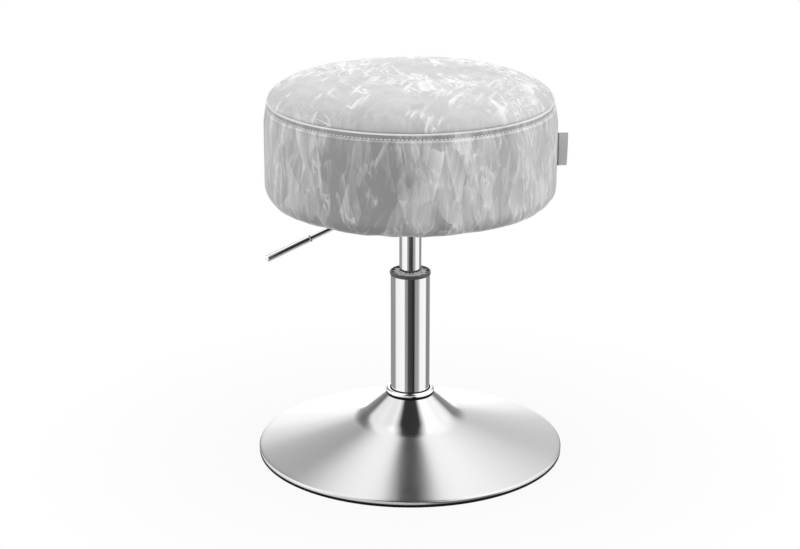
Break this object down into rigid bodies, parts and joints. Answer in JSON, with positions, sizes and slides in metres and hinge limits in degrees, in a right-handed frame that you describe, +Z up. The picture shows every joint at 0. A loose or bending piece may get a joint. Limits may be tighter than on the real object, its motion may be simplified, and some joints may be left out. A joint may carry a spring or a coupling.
{
  "type": "swivel vanity stool",
  "caption": "Round upholstered vanity stool on a chrome gas-lift column and a satin trumpet base. The seat swivels, and a lever under it frees the height.",
  "frame": {"origin": "on the floor, under the middle of the column", "axes": "+Z up along the column, +X to the right and -Y towards the camera of the picture; the lever lies at -X"},
  "size_m": [0.393, 0.393, 0.496],
  "materials": {
    "satin_steel": "satin",
    "chrome": "polished",
    "plain_steel": "satin",
    "zinc": "satin",
    "black_paint": "satin",
    "brass": "satin",
    "black_rubber": "matte",
    "dark_plastic": "satin",
    "white_plastic": "satin",
    "velvet": "satin",
    "tag_cloth": "matte",
    "black_cloth": "matte",
    "plywood": "matte",
    "foam": "matte"
  },
  "bodies": {
    "base": {"base_shell": "satin_steel", "floor_ring": "black_rubber", "base_socket": "plain_steel", "socket_gusset_1": "black_paint", "socket_gusset_2": "black_paint", "socket_gusset_3": "black_paint", "socket_gusset_4": "black_paint", "column_tube": "chrome", "trim_ring": "chrome", "collar_cap": "dark_plastic", "guide_bush": "white_plastic", "bearing_lower_race": "plain_steel"},
    "cage": {"bearing_cage": "brass", "bearing_ball_1": "plain_steel", "bearing_ball_2": "plain_steel", "bearing_ball_3": "plain_steel", "bearing_ball_4": "plain_steel", "bearing_ball_5": "plain_steel", "bearing_ball_6": "plain_steel", "bearing_ball_7": "plain_steel", "bearing_ball_8": "plain_steel"},
    "spindle": {"piston_rod": "chrome", "bearing_upper_race": "plain_steel", "rod_bumper": "black_rubber", "retaining_washer": "zinc", "retaining_clip": "plain_steel", "piston": "brass", "piston_seal": "black_rubber", "piston_nut": "zinc"},
    "seat": {"gas_cylinder": "chrome", "cylinder_gland": "dark_plastic", "valve_body": "brass", "taper_hub": "plain_steel", "mount_plate": "black_paint", "lever_bracket": "plain_steel", "lever_pin": "zinc", "plate_bolt_1": "zinc", "plate_bolt_2": "zinc", "plate_bolt_3": "zinc", "plate_bolt_4": "zinc", "plate_washer_1": "zinc", "plate_washer_2": "zinc", "plate_washer_3": "zinc", "plate_washer_4": "zinc", "tee_nut_1": "zinc", "tee_nut_2": "zinc", "tee_nut_3": "zinc", "tee_nut_4": "zinc", "seat_board": "plywood", "foam_block": "foam", "foam_top": "foam", "cover_top": "velvet", "cover_band": "velvet", "dust_cover": "black_cloth", "side_tag": "tag_cloth"},
    "lever": {"release_lever": "chrome", "lever_grip": "chrome"},
    "button": {"valve_button": "white_plastic"}
  },
  "joints": [
    {"name": "seat_swivel", "type": "hinge", "parent": "base", "child": "spindle", "pos_m": [0, 0, 0], "axis": [0, 0, 1], "continuous": true},
    {"name": "cage_spin", "type": "hinge", "parent": "base", "child": "cage", "pos_m": [0, 0, 0], "axis": [0, 0, 1], "continuous": true},
    {"name": "seat_lift", "type": "slide", "parent": "spindle", "child": "seat", "axis": [0, 0, 1], "range_m": [-0.045, 0.06]},
    {"name": "lever_lift", "type": "hinge", "parent": "seat", "child": "lever", "pos_m": [-0.03864, -0.01035, 0.3274], "axis": [-0.2588, 0.9659, 0], "range_deg": [0, 6], "stiffness_Nm_per_rad": 6},
    {"name": "button_press", "type": "slide", "parent": "seat", "child": "button", "axis": [0, 0, -1], "range_m": [0, 0.0042]}
  ],
  "couplings": [
    {"joint": "cage_spin", "follows": "seat_swivel", "ratio": 0.5},
    {"joint": "button_press", "follows": "lever_lift", "m_per_rad": 0.04}
  ]
}
